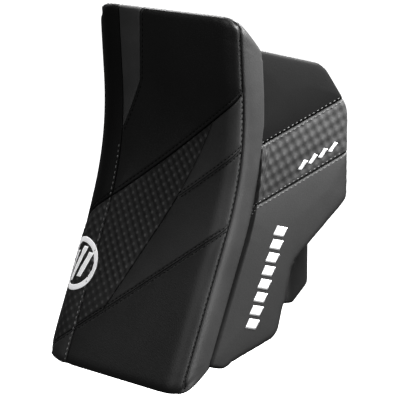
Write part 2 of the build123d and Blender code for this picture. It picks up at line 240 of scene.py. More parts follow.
def meshObject(bm, name, material, body="board", isSmooth=True):
    mesh = bpy.data.meshes.new(name)
    bm.to_mesh(mesh)
    bm.free()
    for polygon in mesh.polygons:
        polygon.use_smooth = isSmooth
    mesh.materials.append(material)
    piece = bpy.data.objects.new(name, mesh)
    bpy.context.scene.collection.objects.link(piece)
    if body:
        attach(piece, body)
    return piece


def thicken(piece, thickness, offset=-1):
    solid = piece.modifiers.new("thickness", "SOLIDIFY")
    solid.thickness = thickness
    solid.offset = offset
    solid.use_even_offset = False
    return piece


def coverPiece(bm, owners, name, finish, node, thickness):
    # one cover: the shell's faces that it owns, given a thickness
    part = bm.copy()
    part.faces.ensure_lookup_table()
    others = [f for f, owner in zip(part.faces, owners) if owner != name]
    bmesh.ops.delete(part, geom=others, context="FACES")
    piece = meshObject(part, name, finishes[finish])
    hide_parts(node)
    thicken(piece, thickness)


class Value:
    # a socket of a material, which takes part in sums
    def __init__(self, paint, socket):
        self.paint = paint
        self.socket = socket

    def sum(self, operation, *others):
        return self.paint.node("ShaderNodeMath", {"operation": operation}, (self,) + others)

    def flipped(self, operation, other):
        return self.paint.node("ShaderNodeMath", {"operation": operation}, (other, self))

    def __add__(self, other):
        return self.sum("ADD", other)

    def __radd__(self, other):
        return self.sum("ADD", other)

    def __sub__(self, other):
        return self.sum("SUBTRACT", other)

    def __rsub__(self, other):
        return self.flipped("SUBTRACT", other)

    def __mul__(self, other):
        return self.sum("MULTIPLY", other)

    def __rmul__(self, other):
        return self.sum("MULTIPLY", other)

    def __truediv__(self, other):
        return self.sum("DIVIDE", other)

    def cosine(self):
        return self.sum("COSINE")

    def within(self, low, high):
        # 0 below low, 1 above high
        return self.paint.node(
            "ShaderNodeMapRange",
            {"interpolation_type": "SMOOTHSTEP"},
            (self, low, high, 0.0, 1.0),
        )


class Paint:
    # one material: its nodes are all made by node()
    def __init__(self, name):
        self.material = bpy.data.materials.new(name)
        self.material.use_nodes = True
        self.tree = self.material.node_tree
        self.tree.nodes.clear()

    def node(self, kind, settings=None, inputs=(), output=0):
        made = self.tree.nodes.new(kind)
        for key, setting in (settings or {}).items():
            setattr(made, key, setting)
        pairs = inputs.items() if isinstance(inputs, dict) else enumerate(inputs)
        for key, value in pairs:
            if isinstance(value, Value):
                self.tree.links.new(value.socket, made.inputs[key])
            else:
                made.inputs[key].default_value = value
        return Value(self, made.outputs[output]) if made.outputs else None

    def place(self, scale=(1, 1, 1), turn=(0, 0, 0)):
        # the object's own coordinates
        where = self.node("ShaderNodeTexCoord", output=3)
        return self.node("ShaderNodeMapping", {}, {0: where, 2: turn, 3: scale})

    def flat(self):
        # the piece's own map: tenths of a metre across and along it
        where = self.node("ShaderNodeUVMap", {"uv_map": "flat"})
        across = self.node("ShaderNodeSeparateXYZ", {}, (where,), 0)
        along = self.node("ShaderNodeSeparateXYZ", {}, (where,), 1)
        return across, along

    def noise(self, where, scale, detail=3.0, roughness=0.55):
        return self.node("ShaderNodeTexNoise", {}, {0: where, 2: scale, 3: detail, 4: roughness})

    def cells(self, where, scale):
        return self.node("ShaderNodeTexVoronoi", {"feature": "F1"}, {0: where, 2: scale})

    def mix(self, factor, first, second):
        settings = {"data_type": "RGBA"}
        return self.node("ShaderNodeMix", settings, {0: factor, 6: first, 7: second}, 2)

    def bump(self, height, distance, strength):
        inputs = {"Strength": strength, "Distance": distance, "Height": height}
        return self.node("ShaderNodeBump", {}, inputs)

    def finish(self, **sockets):
        fixed = {key.replace("_", " "): value for key, value in sockets.items()}
        surface = self.node("ShaderNodeBsdfPrincipled", {}, fixed)
        self.node("ShaderNodeOutputMaterial", {}, {0: surface})
        return self.material


def grey(level):
    return (level, level, level, 1)


def leather(name, level, rough=0.5, grain=1.0, gloss=0.35, sheen=0.0, lift=1.5):
    # coated leather: pebbled grain, cloudy tone, paler where the grain stands up
    paint = Paint(name)
    where = paint.place()
    pebble = paint.cells(where, 620)
    crease = paint.cells(where, 1150)
    cloud = paint.noise(where, 14, 4)
    scuff = paint.noise(where, 95, 5, 0.7).within(0.56, 0.78)
    height = pebble * 0.7 + crease * 0.3 + paint.noise(where, 2600, 2) * 0.35
    tone = (cloud.within(0.3, 0.72)) * 0.55 + (1 - pebble.within(0.1, 0.75)) * 0.3 + scuff * 0.15
    colour = paint.mix(tone, grey(level * 0.82), grey(level * lift))
    roughness = rough + (cloud - 0.5) * 0.16 + scuff * 0.1
    normal = paint.bump(height, 0.00022 * grain, 0.55)
    return paint.finish(
        Base_Color=colour,
        Roughness=roughness,
        Normal=normal,
        Specular_IOR_Level=gloss,
        Sheen_Weight=sheen,
    )


dimple = {
    "across": (5.8, 5.2),  # steps of the pattern on the face, in mm
    "down": (5.1, -6.4),
    "height": 0.42 * mm,
    "seamFade": (1.5 * mm, 5 * mm),  # the cushions are flat at a seam, and grow over this stretch
    "footFade": (70 * mm, 105 * mm),
}


def latticeOf(x, s):
    # place in the dimple pattern, in whole steps
    ax, ay = dimple["across"]
    bx, by = dimple["down"]
    whole = (ax * by - ay * bx) * mm
    return (x * by - s * bx) / whole, (s * ax - x * ay) / whole


def dimpledLeather(name, level, rough=0.45, gloss=0.4, lift=3.2):
    # the same leather with a pattern of small raised cushions; the cushion tops are painted paler as a
    # painted highlight and the hollows darker as painted shade
    paint = Paint(name)
    where = paint.place()
    across, along = paint.flat()
    ax, ay = dimple["across"]
    bx, by = dimple["down"]
    whole = (ax * by - ay * bx) / 100
    first = (across * by - along * bx) / whole * (2 * pi)
    second = (along * ax - across * ay) / whole * (2 * pi)
    cushion = (first.cosine() + second.cosine()) * 0.25 + 0.5
    # painted highlight: the cushion tops are lift times paler; painted shade: the hollows are darker
    top = cushion.within(0.7, 0.98)
    hollowShade = 1 - cushion.within(0.08, 0.5)
    pebble = paint.cells(where, 900)
    cloud = paint.noise(where, 18, 4)
    body = paint.mix(cloud.within(0.3, 0.7), grey(level * 0.8), grey(level * 1.25))
    colour = paint.mix(top * 0.85, body, grey(level * lift))
    colour = paint.mix(hollowShade * 0.75, colour, grey(level * 0.3))
    normal = paint.bump(cushion * 0.6 + pebble * 0.16, 0.0004, 0.5)
    return paint.finish(
        Base_Color=colour,
        Roughness=rough + (1 - top) * 0.12,
        Normal=normal,
        Specular_IOR_Level=gloss,
    )


def wovenCloth(name, level, scale=1.0, rough=0.75, lift=1.9, sheen=0.15):
    # a plain weave: over and under threads on the object's own axes
    paint = Paint(name)
    where = paint.place((scale, scale, scale))
    slanted = {"bands_direction": "DIAGONAL"}
    first = paint.node("ShaderNodeTexWave", slanted, {0: where, 1: 330, 2: 0.6, 3: 2})
    turned = paint.place((scale, scale, scale), (0, radians(90), radians(35)))
    second = paint.node("ShaderNodeTexWave", slanted, {0: turned, 1: 330, 2: 0.6, 3: 2})
    weave = first * 0.5 + second * 0.5
    cloud = paint.noise(where, 30, 4)
    tone = weave * 0.7 + cloud.within(0.3, 0.7) * 0.3
    colour = paint.mix(tone, grey(level * 0.6), grey(level * lift))
    normal = paint.bump(weave + cloud * 0.3, 0.0003, 0.6)
    return paint.finish(
        Base_Color=colour,
        Roughness=rough + (cloud - 0.5) * 0.1,
        Normal=normal,
        Sheen_Weight=sheen,
        Specular_IOR_Level=0.25,
    )


def plainFinish(name, level, rough, metal=0.0, grainScale=700, depth=0.00008, gloss=0.5, glow=0.0):
    # moulded plastic, thread, print or metal: even colour with a fine texture
    paint = Paint(name)
    where = paint.place()
    fine = paint.noise(where, grainScale, 3)
    cloud = paint.noise(where, 22, 4)
    red, green, blue = level if isinstance(level, tuple) else (level,) * 3
    darker = (red * 0.78, green * 0.78, blue * 0.78, 1)
    shade = paint.mix(cloud.within(0.3, 0.72), darker, (red, green, blue, 1))
    normal = paint.bump(fine, depth, 0.5)
    return paint.finish(
        Base_Color=shade,
        Roughness=rough + (cloud - 0.5) * 0.14,
        Metallic=metal,
        Normal=normal,
        Specular_IOR_Level=gloss,
        Emission_Color=shade,
        Emission_Strength=glow,
    )


finishes = {
    # the face panels and the strip are one black leather; each panel's level is set to how bright it
    # looks under the lights: the upper panel and the strip darker as painted shade, the middle panel
    # paler as painted light
    "shadedUpperLeather": leather("upper leather", 0.0045, 0.37, gloss=0.52),
    "midLeather": leather("middle leather", 0.038, 0.44, gloss=0.4),
    "lowLeather": leather("lower leather", 0.022, 0.44, gloss=0.42),
    "footLeather": leather("foot leather", 0.013, 0.44, gloss=0.4),
    "stripLeather": leather("strip leather", 0.0018, 0.5, gloss=0.25),
    "sideLeather": leather("side leather", 0.027, 0.42, gloss=0.48),
    # the top cover is the sidewall's grey leather set paler, as painted light on the end that faces up
    "litTopLeather": leather("top leather", 0.06, 0.42, gloss=0.5),
    # the wing's upper and lower panels are one grey leather: the upper is set much darker as painted
    # shade and the lower paler as painted light
    "wingLeather": leather("wing leather", 0.0135, 0.5, 0.6, gloss=0.32),
    "shadedWingUpperLeather": leather("wing upper leather", 0.004, 0.52, 0.6, gloss=0.1),
    "faceDimples": dimpledLeather("face dimples", 0.0145, lift=4.9),
    "wingDimples": dimpledLeather("wing dimples", 0.025, gloss=0.3, lift=1.9),
    "greyStrip": wovenCloth("grey strip", 0.045),
    "backLeather": leather("back leather", 0.016, 0.55),
    # the binding is the sidewall's grey leather set paler: partly the band's own colour, partly painted
    # light along the wing's lit top edge
    "litBandLeather": leather("band leather", 0.08, 0.5),
    "palmLeather": leather("palm leather", 0.11, 0.68, 1.6, gloss=0.25, sheen=0.1),
    "cuffLeather": leather("cuff leather", 0.012, 0.5),
    # the guard's leather is set darker than the other black covers as painted shade, for the shadow the
    # guard lies in
    "shadedGuardLeather": leather("guard leather", 0.009, 0.42, gloss=0.4),
    "gussetKnit": wovenCloth("gusset knit", 0.035, 1.3, 0.8),
    "liningKnit": wovenCloth("lining knit", 0.05, 1.1, 0.85, sheen=0.3),
    "webbing": wovenCloth("webbing", 0.03, 0.8, 0.6),
    "hookLoop": wovenCloth("hook and loop", 0.02, 1.6, 0.9, sheen=0.4),
    "foam": plainFinish("foam", (0.42, 0.42, 0.4), 0.9, grainScale=900, depth=0.0003, gloss=0.2),
    "stiffPlastic": plainFinish("stiff plastic", (0.02, 0.02, 0.022), 0.42),
    "steel": plainFinish("plated steel", (0.6, 0.6, 0.62), 0.3, 1.0),
    "paleThread": plainFinish("pale thread", 0.13, 0.6, grainScale=2500),
    "wingThread": plainFinish("wing thread", 0.09, 0.7, grainScale=2500),
    "darkThread": plainFinish("dark thread", 0.004, 0.75, grainScale=2500, gloss=0.12),
    "print": plainFinish("white print", (0.82, 0.82, 0.83), 0.45, depth=0.00003),
    # the strip's print glows faintly: painted light, so it stays bright on a side turned from the lamps
    "glowingStripPrint": plainFinish("strip print", (0.85, 0.85, 0.86), 0.4, depth=0.00003, glow=0.5),
    "binding": leather("binding", 0.006, 0.45),
}
print("materials made:", len(finishes))

# the board's covers are cut from one rounded, bent shell
half = board["width"] / 2
stripEdge = -61 * mm
seams = {
    "upper": {"at": 227 * mm, "rise": 0.71},
    "middle": {"at": 175 * mm, "rise": 0.72},
    "lower": {"at": 96 * mm, "rise": 0.77},
    "dimpleEdge": {"at": 138 * mm, "rise": 2.12},
}
greyEdge = [(-61 * mm, 250 * mm), (-36 * mm, 301 * mm), (-29 * mm, 400 * mm)]


def seamHeight(seam, x):
    return seams[seam]["at"] + seams[seam]["rise"] * x


def crossing(first, second):
    x = (seams[second]["at"] - seams[first]["at"]) / (seams[first]["rise"] - seams[second]["rise"])
    return x, seamHeight(first, x)


def seamPoint(seam, x):
    return x, seamHeight(seam, x)


upperCross = crossing("dimpleEdge", "upper")
middleCross = crossing("dimpleEdge", "middle")
lowerCross = crossing("dimpleEdge", "lower")
far = half + 30 * mm  # past the face, on its unfolded sides


def besideLine(start, end, step):
    # the same line moved sideways
    along = Vector((end[0] - start[0], end[1] - start[1])).normalized()
    return [(p[0] - along.y * step, p[1] + along.x * step) for p in (start, end)]


def clipAt(seam, lowX, highX):
    return seamPoint(seam, lowX), seamPoint(seam, highX)


folds = [  # start, end, depth and half width of each sewn fold of the face
    (seamPoint("upper", -far), seamPoint("upper", far), 1.8 * mm, 1.2 * mm),
    (middleCross, seamPoint("middle", far), 0.8 * mm, 0.9 * mm),
    (seamPoint("lower", -far), seamPoint("lower", far), 0.8 * mm, 0.9 * mm),
    (upperCross, middleCross, 0.5 * mm, 0.8 * mm),
    (middleCross, lowerCross, 1.5 * mm, 1.2 * mm),
    ((stripEdge, -30 * mm), (stripEdge, 410 * mm), 1.0 * mm, 1.1 * mm),
    (greyEdge[0], greyEdge[1], 1.0 * mm, 1.0 * mm),
    (greyEdge[1], greyEdge[2], 1.0 * mm, 1.0 * mm),
]
sewnRow = {
    "beside": 2.4 * mm,  # distance from the fold
    "greySide": 2.8 * mm,
    "upperSide": 3.8 * mm,
    "depth": 0.6 * mm,
    "width": 1.4 * mm,
}
rowTop, rowLeft, rowRight = board["length"] + 6 * mm, -far + 5 * mm, half + 2.2 * mm
middleRow = clipAt("middle", middleCross[0] + 3 * mm, rowRight)
sewnRows = [  # rows of dark stitches beside the folds
    besideLine(*clipAt("upper", rowLeft, rowRight), sewnRow["upperSide"]),
    besideLine(*middleRow, sewnRow["beside"]),
    besideLine(*middleRow, -sewnRow["beside"]),
    besideLine(*clipAt("lower", stripEdge + 2 * mm, rowRight), sewnRow["beside"]),
    besideLine(*clipAt("lower", rowLeft, rowRight), -sewnRow["beside"]),
    besideLine(greyEdge[1], (greyEdge[2][0], rowTop), -sewnRow["greySide"]),
    besideLine(greyEdge[0], greyEdge[1], -sewnRow["greySide"]),
]


def unfolded(point):
    # the cover laid flat: its sides continue the face outwards
    x, s, d = point
    if near(abs(x), half):
        x += d if x > 0 else -d
    if near(s, board["length"]):
        s += d
    elif near(s, 0):
        s -= d
    return x, s


def hem(x, s):
    # the depth at which the face's cover is sewn to the cover of that side
    return board["stripDepth"] if near(x, -half) else board["edgeSeam"]


def coverName(point):
    # which cover a spot of the block's surface belongs to
    x, s, d = point
    if near(d, board["depth"]):
        return "backCover"
    onSide = near(abs(x), half) or near(s, 0) or near(s, board["length"])
    if onSide and d > hem(x, s):
        if near(abs(x), half):
            return "sideWallWing" if x > 0 else "sideWallOuter"
        return "bottomCover" if near(s, 0) else "topCover"
    x, s = unfolded(point)
    above, below = s > seamHeight("upper", x), s < seamHeight("lower", x)
    if x < stripEdge:
        return "stripUpper" if above else "stripLower" if below else "stripDimpled"
    if above:
        (ax, ay), (bx, by), (cx, cy) = greyEdge
        if s > by:
            edge = bx + (s - by) * (cx - bx) / (cy - by)
        else:
            edge = ax + (s - ay) * (bx - ax) / (by - ay)
        return "greyStrip" if x < edge and s > ay else "facePanelUpper"
    if below:
        return "facePanelBottom"
    if s > seamHeight("dimpleEdge", x):
        return "facePanelDimpled"
    return "facePanelMiddle" if s > seamHeight("middle", x) else "facePanelLower"


def divide(bm, sizes, cell):
    for axis, size in enumerate(sizes):
        along = [e for e in bm.edges if abs((e.verts[0].co - e.verts[1].co)[axis]) > 1e-6]
        cuts = max(1, round(size / cell) - 1)
        bmesh.ops.subdivide_edges(bm, edges=along, cuts=cuts, use_grid_fill=True)


def boardBlock(cell):
    sizes = (board["width"], board["length"], board["depth"])
    bm = bmesh.new()
    bmesh.ops.create_cube(bm, size=1)
    bmesh.ops.scale(bm, vec=sizes, verts=bm.verts)
    bmesh.ops.translate(bm, vec=(0, sizes[1] / 2, sizes[2] / 2), verts=bm.verts)
    divide(bm, sizes, cell)
    return bm


def isFront(face):
    return all(near(v.co.z, 0) for v in face.verts)


def isLeft(face):
    return all(near(v.co.x, -half) for v in face.verts)


def cutFaces(bm, faces, point, normal):
    parts = set(faces)
    for face in faces:
        parts.update(face.edges)
        parts.update(face.verts)
    bmesh.ops.bisect_plane(bm, geom=list(parts), dist=2e-6, plane_co=point, plane_no=normal)


def cutSeams(bm):
    # lines along and beside each seam, so that its fold has an even shape
    rows = [(*row, sewnRow["depth"], sewnRow["width"]) for row in sewnRows]
    for start, end, depth, width in folds + rows:
        along = Vector((end[0] - start[0], end[1] - start[1], 0)).normalized()
        side = Vector((-along.y, along.x, 0))
        for step in (0, -0.45 * width, 0.45 * width, -width, width):
            spot = Vector((*start, 0)) + side * step
            reach = width + 3 * board["cell"]
            beside = [
                f for f in bm.faces
                if isFront(f) and toSegment(*f.calc_center_median().xy, start, end) < reach
            ]
            cutFaces(bm, beside, spot, side)
            if start[0] < -half:  # the fold goes on round the left edge
                rise = (end[1] - start[1]) / (end[0] - start[0])
                level = start[1] + rise * (-half - start[0])
                normal = Vector((0, 1, rise)).normalized()
                left = [f for f in bm.faces if isLeft(f)]
                cutFaces(bm, left, Vector((0, level, 0)) + normal * step, normal)
    for depth, wanted in ((board["edgeSeam"], 1), (board["stripDepth"], -1)):
        for step in (0, -0.7 * mm, 0.7 * mm):
            ring = [
                f for f in bm.faces
                if abs(f.normal.z) < 0.5 and (isLeft(f) == (wanted < 0))
            ]
            cutFaces(bm, ring, Vector((0, 0, depth + step)), Vector((0, 0, 1)))


def foldDepth(x, s, d, spot):
    # how far in the sewing pulls the cover, and how far the nearest seam is
    depth, gap = 0.0, 1.0
    if d < hem(*spot[:2]) + board["cell"]:
        for start, end, low, width in folds:
            away = toSegment(x, s, start, end)
            gap = min(gap, away)
            if away < width:
                depth = max(depth, low * (1 - smooth(0, width, away)))
        for start, end in sewnRows:
            away = toSegment(x, s, start, end)
            depth += sewnRow["depth"] * (1 - smooth(0, sewnRow["width"], away))
    if d > 1e-6 and d < board["depth"] - 1e-6:
        away = abs(d - hem(*spot[:2]))
        gap = min(gap, away)
        onLong = near(abs(spot[0]), half)
        beside = min(spot[1], board["length"] - spot[1]) if onLong else half - abs(spot[0])
        pull = board["hemPull"] * smooth(0, board["hemFade"], beside)
        depth = max(depth, pull * (1 - smooth(0, board["hemWidth"], away)))
    else:
        toEdge = min(half - abs(spot[0]), spot[1], board["length"] - spot[1])
        gap = min(gap, toEdge + board["edgeSeam"])
    return depth, gap


def cushion(x, s):
    first, second = latticeOf(x, s)
    return 0.5 + 0.25 * (cos(2 * pi * first) + cos(2 * pi * second))


def relaxCorners(bm, spots):
    # evens the skin out where three sides meet
    reach, length = board["relaxReach"], board["length"]
    corners = [
        v for v, (x, s, d) in zip(bm.verts, spots)
        if half - abs(x) < reach and min(s, length - s) < reach
    ]
    evenOut(bm, corners, board["relaxSteps"])


def bendBlock(bm):
    for vert in bm.verts:
        vert.co = bend(*rolled(*vert.co))
    bmesh.ops.reverse_faces(bm, faces=bm.faces)  # the bent frame is a mirrored one


def shapeBoard(bm, isDimpled):
    # rounds, bends and tufts the block; keeps the flat places as a map
    flatPlaces = [unfolded(v.co) for v in bm.verts]
    spots = [v.co.copy() for v in bm.verts]
    bendBlock(bm)
    relaxCorners(bm, spots)
    bm.normal_update()
    normals = [v.normal.copy() for v in bm.verts]
    for vert, (x, s), spot, normal in zip(bm.verts, flatPlaces, spots, normals):
        depth, gap = foldDepth(x, s, spot.z, spot)
        lift = board["crown"] * (1 - exp(-gap / board["crownReach"])) - depth
        if isDimpled(x, s, spot):
            faded = smooth(*dimple["seamFade"], gap) * smooth(*dimple["footFade"], s + 0.25 * x)
            lift += dimple["height"] * 2 * (cushion(x, s) - 0.5) * faded
        vert.co += normal * lift
    return flatPlaces


def inDimples(x, s, spot):
    if near(spot.z, board["depth"]) or spot.z > board["stripDepth"]:
        return False
    if x < stripEdge:
        return seamHeight("lower", x) < s < seamHeight("upper", x)
    return seamHeight("lower", x) < s < seamHeight("upper", x) and s > seamHeight("dimpleEdge", x)


boardMesh = boardBlock(board["cell"])
cutSeams(boardMesh)
dimpledCovers = ("facePanelDimpled", "stripDimpled")
fine = [f for f in boardMesh.faces if coverName(f.calc_center_median()) in dimpledCovers]
fineEdges = list({e for f in fine for e in f.edges})
bmesh.ops.subdivide_edges(boardMesh, edges=fineEdges, cuts=1, use_grid_fill=True)
boardMesh.verts.index_update()
faceCovers = [coverName(f.calc_center_median()) for f in boardMesh.faces]
mapFlat(boardMesh, shapeBoard(boardMesh, inDimples))
boardTree = BVHTree.FromBMesh(boardMesh)
print("board shell:", len(boardMesh.faces), "faces")

boardCovers = {  # cover: finish, node it stands for, slot
    "facePanelUpper": ("shadedUpperLeather", "face_panel_upper", "cover_black"),
    "facePanelMiddle": ("midLeather", "face_panel_middle", "cover_black"),
    "facePanelLower": ("lowLeather", "face_panel_lower", "cover_black"),
    "facePanelBottom": ("footLeather", "face_panel_bottom", "cover_black"),
    "facePanelDimpled": ("faceDimples", "face_panel_dimpled", "cover_dimpled"),
    "greyStrip": ("greyStrip", "face_strip_grey", "strip_mesh"),
    "stripUpper": ("stripLeather", "edge_strip_upper", "cover_black"),
    "stripDimpled": ("faceDimples", "edge_strip_dimpled", "cover_dimpled"),
    "stripLower": ("lowLeather", "edge_strip_lower", "cover_black"),
    "sideWallWing": ("sideLeather", "sidewall_wing", "side_grey"),
    "sideWallOuter": ("stripLeather", "sidewall_outer", "cover_black"),
    "topCover": ("litTopLeather", "end_cover_top", "side_grey"),
    "bottomCover": ("lowLeather", "end_cover_bottom", "cover_black"),
    "backCover": ("backLeather", "back_cover", "cover_black"),
}
for name, (finish, node, slot) in boardCovers.items():
    coverPiece(boardMesh, faceCovers, name, finish, node, board["cover"])

foamMesh = boardBlock(board["foamCell"])
bendBlock(foamMesh)
swell(foamMesh, -board["foamInset"])
boardFoam = meshObject(foamMesh, "boardFoam", finishes["foam"])
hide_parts("board_core", "face_foam", "board_stiffener")
print("board covers and foam made")

# thread and print lie on a finished surface
thread = {
    "length": 3.3 * mm,
    "gap": 2.0 * mm,
    "width": 1.3 * mm,
    "height": 0.5 * mm,
    "lift": 0.08 * mm,
}


def faceSpot(x, s):
    # a spot of the unfolded face, on the rounded block
    if x < -half:
        return bend(*rolled(-half, s, -half - x))
    if x > half:
        return bend(*rolled(half, s, x - half))
    if s > board["length"]:
        return bend(*rolled(x, board["length"], s - board["length"]))
    if s < 0:
        return bend(*rolled(x, 0, -s))
    return bend(*rolled(x, s, 0))


def sewLine(bm, tree, place, corners, width=thread["width"]):
    # a row of stitches along a line of corners, lying on the surface
    length, gap = thread["length"], thread["gap"]
    for start, end in zip(corners, corners[1:]):
        run = hypot(end[0] - start[0], end[1] - start[1])
        count = max(1, int(run / (length + gap)))
        for number in range(count):
            ends = []
            for share in (-0.5, 0.5):
                t = ((number + 0.5) * (length + gap) + share * length) / run
                spot = place(start[0] + t * (end[0] - start[0]), start[1] + t * (end[1] - start[1]))
                ends.append(tree.find_nearest(spot))
            (first, normal, i, j), (second, other, k, m) = ends
            along = second - first
            if along.length < 0.3 * length or along.length > 2 * length:
                continue
            up = (normal + other).normalized()
            side = up.cross(along).normalized()
            up = along.cross(side).normalized()
            axes = Matrix((along / 2, side * width / 2, up * thread["height"]))
            grid = axes.transposed().to_4x4()
            grid.translation = (first + second) / 2 + up * thread["lift"]
            bmesh.ops.create_uvsphere(bm, u_segments=6, v_segments=4, radius=1, matrix=grid)


besideEdge, besideTop = half + 1.2 * mm, board["length"] + 1.2 * mm
edgeRow = [(besideEdge, 4 * mm), (besideEdge, board["length"] - 20 * mm)]
topRow = [(half - 20 * mm, besideTop), (-half + 14 * mm, besideTop)]
paleRow = [(stripEdge - 2.3 * mm, 8 * mm), (stripEdge - 2.3 * mm, 236 * mm)]
for name, rows, finish in (
    ("faceStitches", sewnRows + [edgeRow, topRow], "darkThread"),
    ("stripStitches", [paleRow], "paleThread"),
):
    bm = bmesh.new()
    for row in rows:
        sewLine(bm, boardTree, faceSpot, row)
    meshObject(bm, name, finishes[finish])


def printOn(bm, name, tree, place, finish):
    # flat shapes laid on a surface and given the thickness of a print
    for vert in bm.verts:
        spot, normal, i, j = tree.find_nearest(place(vert.co.x, vert.co.y))
        vert.co = spot + normal * mark["lift"]
    bm.normal_update()
    thicken(meshObject(bm, name, finishes[finish]), mark["thickness"])


def bar(bm, centre, width, height, slant, cells=(3, 6)):
    # one slanted bar, divided so that it can follow a curved surface
    verts = bmesh.ops.create_grid(bm, x_segments=cells[0], y_segments=cells[1], size=0.5)["verts"]
    for vert in verts:
        x, y = vert.co.x * width, vert.co.y * height
        vert.co = Vector((centre[0] + x + slant * y, centre[1] + y, 0))


mark = {
    "centre": (-82.5 * mm, 111.5 * mm),
    "outer": 27.5 * mm,
    "inner": 22 * mm,
    "bars": ((-11, 26), (0, 36), (11, 26)),  # place and height of each, in mm
    "slant": 0.35,
    "lift": 0.3 * mm,
    "thickness": 0.25 * mm,
}
bm = bmesh.new()
outer = bmesh.ops.create_circle(bm, segments=72, radius=mark["outer"])["verts"]
rim = list({e for v in outer for e in v.link_edges})
wide = bmesh.ops.extrude_edge_only(bm, edges=rim)["geom"]
bmesh.ops.scale(bm, vec=(mark["inner"] / mark["outer"],) * 3, verts=vertsOf(wide))
rungs = [e for e in bm.edges if (e.verts[0] in outer) != (e.verts[1] in outer)]
bmesh.ops.subdivide_edges(bm, edges=rungs, cuts=3, use_grid_fill=True)
bmesh.ops.translate(bm, vec=(*mark["centre"], 0), verts=bm.verts)
for offset, height in mark["bars"]:
    centre = (mark["centre"][0] + offset * mm, mark["centre"][1])
    bar(bm, centre, 6 * mm, height * mm, mark["slant"], (5, 16))
printOn(bm, "stripMark", boardTree, faceSpot, "glowingStripPrint")
print("board stitches and mark made")

# the wing: a padded guard on the plane that flares out from the board
wing = {
    "footArc": 31 * mm,
    "footDepth": 28 * mm,
    "topArc": 312 * mm,
    "topInset": 2 * mm,
    "flare": radians(29),
    "recess": 4.5 * mm,
    "thickness": 17 * mm,
    "outline": [
        (-14, 326), (66, 326), (102, 287), (119.5, 194),
        (72, 119), (69, 42), (13, -1), (-14, -1),
    ],
    "corners": [1, 27, 26, 14, 26, 18, 22, 1],
    "fitReach": 24 * mm,
    "gap": -4.5 * mm,
    "voxel": 1.9 * mm,
    "rounding": 9,
    "crown": 2.0 * mm,
    "crownReach": 16 * mm,
    "rimRise": 3 * mm,
    "cover": 1.1 * mm,
    "upperSeam": (220 * mm, 0.79),
    "lowerSeam": (153.5 * mm, 0.80),
    "seamEnds": (-20 * mm, 125 * mm),
    "seamDepth": 1.5 * mm,
    "seamWidth": 1.7 * mm,
    "dimpleHeight": 0.36 * mm,
    "dimpleScale": 0.86,
    "foamInset": 1.2,  # in mm
}
wingFoot = bend(half, wing["footArc"], wing["footDepth"])
wingUp = (bend(half - wing["topInset"], wing["topArc"], board["depth"]) - wingFoot).normalized()
wingStraight = wingUp.cross(Vector((1, 0, 0))).normalized()
wingBack = wingStraight * cos(wing["flare"]) + wingStraight.cross(wingUp) * sin(wing["flare"])
wingOut = wingBack.cross(wingUp).normalized()
wingGrid = Matrix((wingBack, wingOut.cross(wingBack), wingOut)).transposed().to_4x4()
wingGrid.translation = wingFoot - wingOut * wing["recess"]


def bakeModifiers(piece):
    # the mesh as its modifiers leave it, with none left on the piece
    graph = bpy.context.evaluated_depsgraph_get()
    baked = bpy.data.meshes.new_from_object(piece.evaluated_get(graph))
    piece.modifiers.clear()
    old = piece.data
    piece.data = baked
    bpy.data.meshes.remove(old)
    return piece


def remeshed(bm, voxel):
    # an even skin of small cells round a closed shape
    holder = meshObject(bm, "rough", finishes["foam"], body=None)
    skin = holder.modifiers.new("skin", "REMESH")
    skin.mode = "VOXEL"
    skin.voxel_size = voxel
    bakeModifiers(holder)
    made = bmesh.new()
    made.from_mesh(holder.data)
    rough = holder.data
    bpy.data.objects.remove(holder)
    bpy.data.meshes.remove(rough)
    return made


def wingSeam(seam, x):
    at, rise = wing[seam]
    return at + rise * x


bm = bmesh.new()
corners = [bm.verts.new((x * mm, y * mm, 0)) for x, y in wing["outline"]]
bm.faces.new(corners)
for vert, radius in zip(corners, wing["corners"]):
    arms = [(e.other_vert(vert).co - vert.co).normalized() for e in vert.link_edges]
    reach = radius * mm / tan(arms[0].angle(arms[1]) / 2)
    bmesh.ops.bevel(
        bm, geom=[vert], offset=reach, offset_type="OFFSET",
        segments=8, profile=0.5, affect="VERTICES", material=-1,
    )
slab = bmesh.ops.extrude_face_region(bm, geom=bm.faces[:])["geom"]
bmesh.ops.translate(bm, vec=(0, 0, -wing["thickness"]), verts=vertsOf(slab))
bmesh.ops.recalc_face_normals(bm, faces=bm.faces)
wingMesh = remeshed(bm, wing["voxel"])
evenOut(wingMesh, wingMesh.verts, wing["rounding"])
innerEdge = min(v.co.x for v in wingMesh.verts)
print("wing blank:", len(wingMesh.verts), "points")

wingSeams = []
for seam in ("upperSeam", "lowerSeam"):
    start, end = [(x, wingSeam(seam, x)) for x in wing["seamEnds"]]
    wingSeams.append((start, end))
    along = Vector((end[0] - start[0], end[1] - start[1], 0)).normalized()
    side = Vector((-along.y, along.x, 0))
    for step in (0, -0.7, 0.7, -1.5, 1.5):
        cutAll(wingMesh, Vector((*start, 0)) + side * step * mm, side)


def wingPart(point, normal):
    # which cover a face of the wing belongs to
    if normal.z < -0.55:
        return "wingLining"
    # faces turned up at the top edge also go to the binding, so its paler leather lies there as a painted
    # highlight
    if normal.z < 0.45 and point.z < -3.2 * mm or normal.y > 0.45:
        return "wingBinding"
    if point.y > wingSeam("upperSeam", point.x):
        return "wingPanelUpper"
    return "wingPanelDimpled" if point.y > wingSeam("lowerSeam", point.x) else "wingPanelLower"


